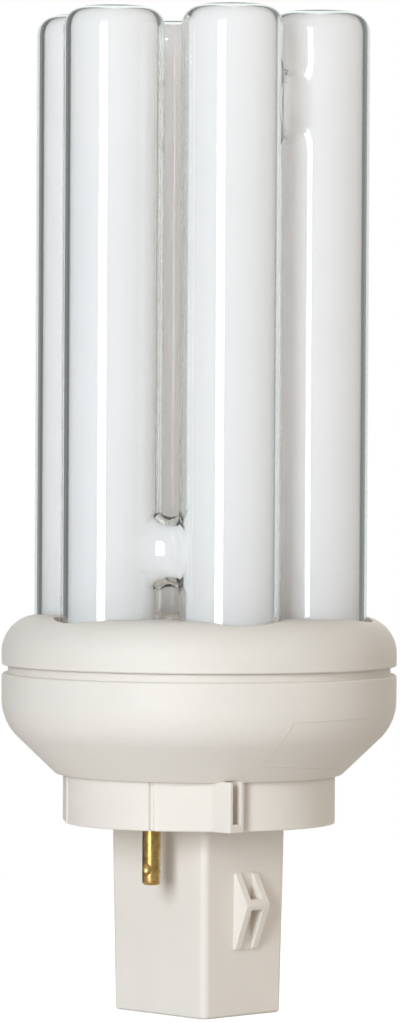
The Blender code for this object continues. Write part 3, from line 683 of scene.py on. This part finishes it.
def bridge_end(bm, place, border, direction, middle, inset):
    """Rings from a window's border in a leg's wall out to the middle of a bridge."""
    radius = TUBE_RADIUS - inset
    half = LEG_CIRCLE / 2
    half_depth = NECK_HALF_DEPTH - NECK_WALL_RATIO * inset
    half_height = NECK_HALF_HEIGHT - NECK_WALL_RATIO * inset
    foot_height = NECK_FOOT_HEIGHT - NECK_FOOT_RATIO * inset
    foot_spread = math.asin((NECK_FOOT_DEPTH - NECK_FOOT_RATIO * inset) / radius)
    rings = [[vert for vert, turn, height in border]]
    corners = []
    for vert, turn, height in border:
        across = (turn - direction + math.pi) % (2 * math.pi) - math.pi
        corners.append((across, height - middle))

    def on_wall(across, rise):
        turn = direction + across
        return Vector((radius * math.cos(turn), radius * math.sin(turn), middle + rise))

    feet = []
    for across, rise in corners:
        around = math.atan2(rise / NECK_WINDOW_HEIGHT, across / NECK_WINDOW)
        feet.append((foot_spread * math.cos(around), foot_height * math.sin(around), around))
    for step in (0.5, 1.0):
        ring = []
        for (across, rise), (foot_across, foot_rise, around) in zip(corners, feet):
            spot = on_wall(across + (foot_across - across) * step, rise + (foot_rise - rise) * step)
            ring.append(bm.verts.new(place @ spot))
        rings.append(ring)
    outward = Vector((math.cos(direction), math.sin(direction), 0))
    sideways = Vector((-math.sin(direction), math.cos(direction), 0))
    up = Vector((0, 0, 1))
    for step in range(1, NECK_RINGS + 1):
        t = step / NECK_RINGS
        ring = []
        for foot_across, foot_rise, around in feet:
            start = on_wall(foot_across, foot_rise)
            inward = -(math.cos(around) * Vector((-math.sin(direction + foot_across),
                                                  math.cos(direction + foot_across), 0))
                       + math.sin(around) * up)
            end = half * outward + middle * up
            end += half_depth * math.cos(around) * sideways + half_height * math.sin(around) * up
            pull = NECK_PULL * (end - start).length
            spot = ((2 * t ** 3 - 3 * t ** 2 + 1) * start + (t ** 3 - 2 * t ** 2 + t) * pull * inward
                    + (3 * t ** 2 - 2 * t ** 3) * end + (t ** 3 - t ** 2) * pull * outward)
            ring.append(bm.verts.new(place @ spot))
        rings.append(ring)
    for low, high in zip(rings, rings[1:]):
        for k in range(len(low)):
            n = (k + 1) % len(low)
            bm.faces.new((low[k], low[n], high[n], high[k]))


def envelope(inset, bm=None):
    """The joined legs at a depth below the outer surface, as one closed skin."""
    bm = bm or bmesh.new()
    first_new = len(bm.verts)
    rows = leg_rows()
    radius = TUBE_RADIUS - inset
    turns = [2 * math.pi * side / TUBE_SIDES for side in range(TUBE_SIDES)]
    for index in range(6):
        place = leg_place(index)
        grid = []
        for height in rows:
            ring = [Vector((radius * math.cos(turn), radius * math.sin(turn), height)) for turn in turns]
            grid.append([bm.verts.new(place @ point) for point in ring])
        windows = []
        for first, second, middle in neck_heights():
            if index not in (first, second):
                continue
            other = second if index == first else first
            step = (other - index + 3) % 6 - 3
            windows.append((math.radians(120) * step, middle))
        skipped = set()
        for direction, middle in windows:
            low_row = min(range(len(rows)), key=lambda k: abs(rows[k] - middle + NECK_WINDOW_HEIGHT))
            centre = round(direction / (2 * math.pi) * TUBE_SIDES)
            half = round(NECK_WINDOW / (2 * math.pi) * TUBE_SIDES)
            columns = [(centre + k) % TUBE_SIDES for k in range(-half, half + 1)]
            span = range(low_row, low_row + NECK_ROWS + 1)
            skipped |= {(row, column) for row in span[:-1] for column in columns[:-1]}
            path = [(span[0], c) for c in columns[:-1]] + [(r, columns[-1]) for r in span[:-1]]
            path += [(span[-1], c) for c in columns[:0:-1]] + [(r, columns[0]) for r in span[:0:-1]]
            border = [(grid[row][column], turns[column], rows[row]) for row, column in path]
            bridge_end(bm, place, border, direction, middle, inset)
        for row in range(len(rows) - 1):
            for column in range(TUBE_SIDES):
                if (row, column) in skipped:
                    continue
                n = (column + 1) % TUBE_SIDES
                bm.faces.new((grid[row][column], grid[row][n], grid[row + 1][n], grid[row + 1][column]))
        last = grid[-1]
        for ring_radius, height in dome_profile(inset)[:-1]:
            ring = [bm.verts.new(place @ Vector((ring_radius * math.cos(turn),
                                                 ring_radius * math.sin(turn), height)))
                    for turn in turns]
            loft(bm, [last, ring], caps=False)
            last = ring
        pole = bm.verts.new(place @ Vector((0, 0, dome_profile(inset)[-1][1])))
        loft(bm, [last, [pole]], caps=False)
        last = grid[0]
        for points in foot_rings(index, inset):
            ring = [bm.verts.new(place @ Vector(point)) for point in points]
            loft(bm, [ring, last], caps=False)
            last = ring
        bm.faces.new(list(reversed(last)))
    bm.verts.ensure_lookup_table()
    bmesh.ops.remove_doubles(bm, verts=bm.verts[first_new:], dist=WELD_DISTANCE)
    return bm


def build_tube():
    shell = envelope(0.0)
    bmesh.ops.recalc_face_normals(shell, faces=shell.faces)
    inner = envelope(GLASS_WALL)
    bmesh.ops.recalc_face_normals(inner, faces=inner.faces)
    bmesh.ops.reverse_faces(inner, faces=inner.faces)
    spare = bpy.data.meshes.new("tube_inside")
    inner.to_mesh(spare)
    inner.free()
    shell.from_mesh(spare)
    bpy.data.meshes.remove(spare)
    glass = mesh_object("tube_glass", shell, recalculate=False)
    glass.data.shade_smooth()
    glass.data.materials.append(glass_material("tube_clear_glass", TUBE_TINT))
    coating = mesh_object("tube_coating", envelope(COATING_INSET))
    coating.data.shade_smooth()
    coating.data.materials.append(coating_material())
    return glass, coating


# The base housing, the cover and the pins

def post_half(height):
    grow = height * math.tan(POST_DRAFT)
    return POST_WIDTH / 2 + grow, POST_DEPTH / 2 + grow


def rounded_rectangle(half_x, half_y, radius):
    points = []
    corners = ((1, 1, 0), (-1, 1, 90), (-1, -1, 180), (1, -1, 270))
    for sign_x, sign_y, start in corners:
        centre = (sign_x * (half_x - radius), sign_y * (half_y - radius))
        first = math.radians(start)
        points += arc(centre, radius, first, first + math.pi / 2, POST_CORNER_STEPS)
    return points


def post_level(height, inset, corner):
    half_x, half_y = post_half(height)
    return rounded_rectangle(half_x - inset, half_y - inset, corner), height


def post_form():
    levels = []
    for k in range(EDGE_STEPS + 1):
        turn = math.pi / 2 * k / EDGE_STEPS
        inset = POST_EDGE * (1 - math.sin(turn))
        levels.append(post_level(POST_EDGE * (1 - math.cos(turn)), inset, POST_CORNER - inset))
    levels.append(post_level(SEAT + BOSS_FLOOR / 2, 0.0, POST_CORNER))
    return outline_loft(levels)


def post_cavity():
    corner = POST_CORNER / 2
    levels = [post_level(POST_FLOOR, POST_WALL, corner),
              post_level(SEAT + 2 * BOSS_FLOOR, POST_WALL, corner)]
    return outline_loft(levels)


def lug_solids():
    root = POST_WIDTH / 2 - POST_WALL / 2
    face = post_half(LUG_APEX_HEIGHT)[0]
    low = LUG_APEX_HEIGHT - LUG_DROP
    high = LUG_APEX_HEIGHT + LUG_RISE
    section = [(root, low), (face + LUG_STEP, low), (face + LUG_REACH, LUG_APEX_HEIGHT),
               (face + LUG_STEP, high), (root, high)]
    levels = rounded_levels(section, -LUG_WIDTH / 2, LUG_WIDTH / 2, LUG_EDGE, CORNER_SOFTNESS,
                            steps=LUG_STEPS, both=True)
    bm = bmesh.new()
    upright = Matrix.Rotation(math.pi / 2, 4, "X")
    for k in range(2):
        outline_loft(levels, bm, half_turn(k) @ upright)
    return bm


def lug_pockets():
    bm = bmesh.new()
    face = post_half(LUG_APEX_HEIGHT)[0]
    half = LUG_WIDTH / 2 - LUG_PLATE
    spans = ((LUG_APEX_HEIGHT - 2 * LUG_DROP, LUG_APEX_HEIGHT - LUG_WEB_BELOW),
             (LUG_APEX_HEIGHT + LUG_WEB_ABOVE, LUG_APEX_HEIGHT + 2 * LUG_RISE))
    for k in range(2):
        for low, high in spans:
            block(bm, (face + LUG_PAD, -half, low), (face + 2 * LUG_REACH, half, high), half_turn(k))
    return bm


def key_face():
    return math.sqrt(BOSS_RADIUS ** 2 - KEY_OFFSET ** 2) + KEY_STAND


def boss_outline():
    axis = (0.0, 0.0)
    groove_turn = EDGE_GROOVE_WIDTH / BOSS_RADIUS
    bank = EDGE_GROOVE_BANK / BOSS_RADIUS
    flat_near = FLAT_ANGLE - FLAT_HALF_ANGLE
    flat_far = FLAT_ANGLE + FLAT_HALF_ANGLE
    floor_radius = BOSS_RADIUS - EDGE_GROOVE_DEPTH
    groove = arc(axis, floor_radius, flat_far + bank, flat_far + groove_turn - bank,
                 BOSS_STEPS["groove"])
    side = arc(axis, BOSS_RADIUS, flat_far + groove_turn, math.pi / 2, BOSS_STEPS["side"])
    upper = arc(axis, BOSS_RADIUS, flat_near, flat_far, BOSS_STEPS["flat"]) + groove + side[:-1]
    lower = [(x, -y) for x, y in reversed(upper)]
    key_low = -KEY_OFFSET - KEY_WIDTH / 2
    key_high = -KEY_OFFSET + KEY_WIDTH / 2
    key = [(math.sqrt(BOSS_RADIUS ** 2 - key_low ** 2), key_low), (key_face(), key_low),
           (key_face(), key_high)]
    front = arc(axis, BOSS_RADIUS, math.asin(key_high / BOSS_RADIUS), flat_near, BOSS_STEPS["front"])
    half = [(side[-1][0], -side[-1][1])] + lower + key + front[:-1] + upper
    return half + [(-x, -y) for x, y in half]


def boss_form():
    head = BOSS_TOP + KEY_HEAD
    return outline_loft(rounded_levels(boss_outline(), SEAT, head, BOSS_EDGE, CORNER_SOFTNESS))


def key_slots():
    bm = bmesh.new()
    for k in range(2):
        low = (key_face() - KEY_SLOT_DEPTH, -KEY_OFFSET - KEY_SLOT_WIDTH / 2, SEAT + KEY_SLOT_SILL)
        high = (key_face() + KEY_STAND, -KEY_OFFSET + KEY_SLOT_WIDTH / 2, BOSS_TOP + GAP)
        block(bm, low, high, half_turn(k))
    return bm


def bowl_form():
    low = (BOSS_RADIUS + BOWL_LEDGE, BOSS_TOP)
    corner_height = BOSS_TOP + (COLLAR_RADIUS - low[0]) * math.tan(BOWL_SLOPE)
    turn = math.pi / 2 - BOWL_SLOPE
    centre = (COLLAR_RADIUS - BOWL_ROUND, corner_height + BOWL_ROUND * math.tan(turn / 2))
    shoulder = COLLAR_RADIUS - GROOVE_DEPTH
    lip_top = BOWL_TOP + LIP_RISE
    rim = (COLLAR_RADIUS - COVER_EDGE, BOWL_TOP - COVER_EDGE)
    toe = (low[0] - BOWL_TOE * math.tan(BOWL_SLOPE / 2), BOSS_TOP + BOWL_TOE)
    profile = arc(toe, BOWL_TOE, -math.pi / 2, -turn, TIP_STEPS)
    profile += arc(centre, BOWL_ROUND, -turn, 0.0, SHOULDER_STEPS)
    profile += arc(rim, COVER_EDGE, 0.0, math.pi / 2, EDGE_STEPS)
    profile += [
        (shoulder, BOWL_TOP),
        (shoulder, COVER_BASE - GROOVE_SEAM),
        (LIP_OUTSIDE, COVER_BASE - GROOVE_SEAM),
        (LIP_OUTSIDE, lip_top - LIP_CHAMFER),
        (LIP_OUTSIDE - LIP_CHAMFER, lip_top),
    ]
    return turned(profile, BODY_SIDES)


def bowl_cavity():
    boss_inside = BOSS_RADIUS - BOSS_FLOOR
    side_inside = COLLAR_RADIUS - BOWL_WALL
    slope = math.tan(BOWL_SLOPE)
    lift = BOSS_TOP + BOWL_WALL / math.cos(BOWL_SLOPE) - (BOSS_RADIUS + BOWL_LEDGE) * slope
    profile = [
        (boss_inside, SEAT + BOSS_FLOOR),
        (boss_inside, lift + boss_inside * slope),
        (side_inside, lift + side_inside * slope),
        (side_inside, BOWL_TOP - LIP_ROOT - (side_inside - LIP_INSIDE)),
        (LIP_INSIDE, BOWL_TOP - LIP_ROOT),
        (LIP_INSIDE, BOWL_TOP + 2 * LIP_RISE),
    ]
    return turned(profile, BODY_SIDES)


def pin_place(k):
    x = PIN_CIRCLE * math.sin(PIN_ANGLE)
    y = -PIN_CIRCLE * math.cos(PIN_ANGLE)
    return half_turn(k) @ Matrix.Translation((x, y, SEAT))


def pin_holes():
    bm = bmesh.new()
    for k in range(2):
        radius = PIN_RADIUS + GAP
        turned([(radius, -BOSS_FLOOR), (radius, 2 * BOSS_FLOOR)], HOLE_SIDES, bm, pin_place(k))
    return bm


def build_housing():
    steps = [
        ("UNION", boss_form()),
        ("UNION", post_form()),
        ("UNION", lug_solids()),
        ("DIFFERENCE", bowl_cavity()),
        ("DIFFERENCE", post_cavity()),
        ("DIFFERENCE", lug_pockets()),
        ("DIFFERENCE", key_slots()),
        ("DIFFERENCE", pin_holes()),
    ]
    return carved("housing_moulding", bowl_form(), steps)


def build_cover():
    foot = (COLLAR_RADIUS - COVER_EDGE, COVER_BASE + COVER_EDGE)
    shoulder = (COLLAR_RADIUS - COVER_SHOULDER, COVER_TOP - COVER_SHOULDER)
    profile = arc(foot, COVER_EDGE, -math.pi / 2, 0.0, EDGE_STEPS)
    profile += arc(shoulder, COVER_SHOULDER, 0.0, math.pi / 2, SHOULDER_STEPS)
    underside = COVER_TOP - COVER_PLATE
    hollow = [(SKIRT_INSIDE, COVER_BASE - COVER_PLATE), (SKIRT_INSIDE, underside - LIP_WALL),
              (LIP_INSIDE, underside)]
    holes = bmesh.new()
    for index in range(6):
        radius = TUBE_RADIUS + TUBE_HOLE_CLEARANCE
        reach = [(radius, COVER_BASE), (radius, COVER_TOP + COVER_HEIGHT)]
        turned(reach, HOLE_SIDES, holes, leg_place(index))
    steps = [("DIFFERENCE", turned(hollow, BODY_SIDES)), ("DIFFERENCE", holes)]
    return carved("cover_moulding", turned(profile, BODY_SIDES), steps)


def build_pin(k):
    bore = PIN_RADIUS - PIN_WALL
    flange_low = BOSS_FLOOR + GAP
    flange_high = flange_low + PIN_FLANGE_THICKNESS
    top = flange_high + PIN_TAIL
    nose = (PIN_RADIUS - PIN_NOSE_ROUND, PIN_NOSE_ROUND - PIN_REACH)
    profile = arc(nose, PIN_NOSE_ROUND, -math.pi / 2, 0.0, TIP_STEPS) + [
        (PIN_RADIUS, flange_low),
        (PIN_RADIUS + PIN_FLANGE, flange_low),
        (PIN_RADIUS + PIN_FLANGE, flange_high),
        (PIN_RADIUS, flange_high),
        (PIN_RADIUS, top),
        (bore, top),
        (bore, PIN_NOSE - PIN_REACH),
    ]
    dent = bmesh.new()
    inset = PIN_RADIUS + PIN_DIMPLE_RADIUS - PIN_DIMPLE_DEPTH
    turn = Matrix.Rotation(PIN_DIMPLE_TURN, 4, "Z")
    spot = Matrix.Translation((inset, 0, PIN_DIMPLE_RISE - PIN_REACH))
    bmesh.ops.create_uvsphere(dent, u_segments=DIMPLE_SIDES, v_segments=DIMPLE_SIDES // 2,
                              radius=PIN_DIMPLE_RADIUS, matrix=pin_place(k) @ turn @ spot)
    body = turned(profile, PIN_SIDES, None, pin_place(k))
    return carved(f"pin_{k + 1}", body, [("DIFFERENCE", dent)])


# The stage: floor, light and camera

def build_floor():
    """Matt near the lamp. Further out it is white for the camera, matt behind glass, else dark."""
    bm = bmesh.new()
    bmesh.ops.create_circle(bm, cap_ends=True, segments=FLOOR_SIDES, radius=FLOOR_RADIUS)
    floor = mesh_object("floor", bm)
    floor.location.z = -FLOOR_DROP
    shader = Shader(bpy.data.materials.new("pale_floor"))
    place = object_place(shader)
    distance = shader.add("ShaderNodeVectorMath", {0: place}, operation="LENGTH").outputs["Value"]
    fade = shader.ramp(distance, FLOOR_FADE, (0.0, 1.0))
    tone = shader.spread(shader.noise(place, FLOOR_SCALE))
    colour = shader.blend(tone, FLOOR_DARK, FLOOR_LIGHT)
    matt = shader.add("ShaderNodeBsdfDiffuse", {"Color": colour}).outputs[0]
    path = shader.add("ShaderNodeLightPath").outputs
    seen = path["Is Camera Ray"]
    lift = shader.glow("ShaderNodeEmission", WHITE, shader.math("MULTIPLY", seen, FLOOR_LIFT))
    white = shader.glow("ShaderNodeEmission", WHITE, seen)
    not_through_glass = shader.math("SUBTRACT", 1.0, path["Is Transmission Ray"])
    blank = shader.math("MULTIPLY", fade, not_through_glass)
    floor.data.materials.append(shader.finish(shader.mix(blank, shader.sum(matt, lift), white)))


def build_world():
    """White for the camera, a room with walls for glass and metal, and soft light for the rest."""
    world = bpy.data.worlds.new("studio")
    bpy.context.scene.world = world
    shader = Shader(world)
    direction = shader.add("ShaderNodeTexCoord").outputs["Generated"]
    axes = shader.add("ShaderNodeSeparateXYZ", {0: direction}).outputs
    turn = shader.math("ARCTAN2", axes[1], axes[0])

    def facing(side):
        """1 towards a turn from the camera's side, and -1 away from it."""
        return shader.math("COSINE", shader.math("SUBTRACT", turn, CAMERA_TURN + side))

    behind = facing(math.pi)
    backdrop = shader.ramp(behind, BACKDROP_EDGE, (0.0, 1.0))
    sides = shader.ramp(behind, FLAG_EDGE, (WALL_TONE, FLAG_TONE))
    share = shader.ramp(facing(DARK_WALL_TURN), DARK_WALL_EDGE, (1.0, DARK_WALL_SHARE))
    ceiling = shader.ramp(axes[2], CEILING_EDGE, (0.0, CEILING_TONE))
    wall = shader.math("MAXIMUM", backdrop, shader.math("MULTIPLY", sides, share))
    wall = shader.math("MAXIMUM", wall, ceiling)
    mirrored = shader.glow("ShaderNodeBackground", MIRRORED_COLOUR, wall)

    fill = shader.math("MULTIPLY", shader.math("MAXIMUM", facing(FILL_TURN), 0.0), FILL_LIGHT)
    lobe = shader.math("POWER", shader.math("MAXIMUM", behind, 0.0), REAR_FOCUS)
    front = shader.glow("ShaderNodeBackground", AMBIENT_COLOUR, shader.math("ADD", fill, ROOM_LIGHT))
    rear = shader.glow("ShaderNodeBackground", REAR_COLOUR, shader.math("MULTIPLY", lobe, REAR_LIGHT))
    unlit = shader.glow("ShaderNodeBackground", BLACK, 0.0)
    overhead = shader.ramp(axes[2], OVERHEAD_EDGE, (0.0, OVERHEAD_LOSS))
    ambient = shader.mix(overhead, shader.sum(front, rear), unlit)

    path = shader.add("ShaderNodeLightPath").outputs
    bounced = shader.mix(path["Is Diffuse Ray"], mirrored, ambient)
    plain = shader.glow("ShaderNodeBackground", WHITE, 1.0)
    shader.finish(shader.mix(path["Is Camera Ray"], bounced, plain), "ShaderNodeOutputWorld")


def add_strip_light():
    """An upright soft light that faces the lamp's axis."""
    turn = CAMERA_TURN + STRIP_TURN
    height = STRIP_HIGH - STRIP_LOW
    data = bpy.data.lights.new("strip_light", "AREA")
    data.shape = "RECTANGLE"
    data.size, data.size_y = STRIP_WIDTH, height
    data.energy = STRIP_RADIANCE * math.pi * STRIP_WIDTH * height
    data.color = STRIP_COLOUR
    light = bpy.data.objects.new("strip_light", data)
    light.location = (STRIP_DISTANCE * math.cos(turn), STRIP_DISTANCE * math.sin(turn),
                      (STRIP_LOW + STRIP_HIGH) / 2)
    inward = Vector((-math.cos(turn), -math.sin(turn), 0))
    light.rotation_euler = inward.to_track_quat("-Z", "Y").to_euler()
    light.visible_camera = False
    bpy.context.scene.collection.objects.link(light)


def build_camera():
    data = bpy.data.cameras.new("camera")
    data.lens = CAMERA_LENS
    data.clip_start, data.clip_end = CAMERA_CLIP
    camera = bpy.data.objects.new("camera", data)
    outward = Vector((math.cos(CAMERA_TURN), math.sin(CAMERA_TURN), 0))
    side = Vector((-math.sin(CAMERA_TURN), math.cos(CAMERA_TURN), 0))
    back = math.cos(CAMERA_PITCH) * outward + math.sin(CAMERA_PITCH) * Vector((0, 0, 1))
    up = back.cross(side)
    right = math.cos(CAMERA_ROLL) * side + math.sin(CAMERA_ROLL) * up
    top = -math.sin(CAMERA_ROLL) * side + math.cos(CAMERA_ROLL) * up
    turn = Matrix((right, top, back)).transposed().to_4x4()
    spot = CAMERA_DISTANCE * outward + Vector((0, 0, CAMERA_HEIGHT))
    camera.matrix_world = Matrix.Translation(spot) @ turn
    bpy.context.scene.collection.objects.link(camera)
    bpy.context.scene.camera = camera


# The pieces and their finishes

def build_pieces():
    plastic = plain_finish("warm_white_plastic")
    marked = uneven_material("warm_white_plastic_with_outline", outline=OUTLINE_CORNERS,
                             **PLAIN_FINISHES["warm_white_plastic"])
    brass = plain_finish("bright_brass")
    glass, coating = build_tube()
    for piece in (glass, coating):
        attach(piece, "root")
        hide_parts("discharge_tube")
    housing = build_housing()
    cover = build_cover()
    pins = [build_pin(0), build_pin(1)]
    solid = [(housing, "base_housing", "housing_plastic", marked),
             (cover, "top_cover", "cover_plastic", plastic),
             (pins[0], "contact_pin_1", "pin_brass", brass),
             (pins[1], "contact_pin_2", "pin_brass", brass)]
    for piece, node, slot, material in solid:
        piece.data.materials.clear()
        piece.data.materials.append(material)
        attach(piece, "root")
        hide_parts(node)


def finish_inner_nodes():
    """Gives the CAD nodes that stay in view or inside the housing their real finishes."""
    finishes = {name: plain_finish(name) for name in sorted(set(INNER_FINISHES.values()))}
    made = {start: finishes[name] for start, name in INNER_FINISHES.items()}
    made["starter_bottle"] = glass_material("starter_clear_glass", STARTER_TINT)
    for name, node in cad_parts.items():
        for start, material in made.items():
            if name.startswith(start):
                node.data.materials.clear()
                node.data.materials.append(material)


build_pieces()
finish_inner_nodes()
build_floor()
build_world()
add_strip_light()
build_camera()
bpy.context.scene.view_settings.view_transform = "Standard"
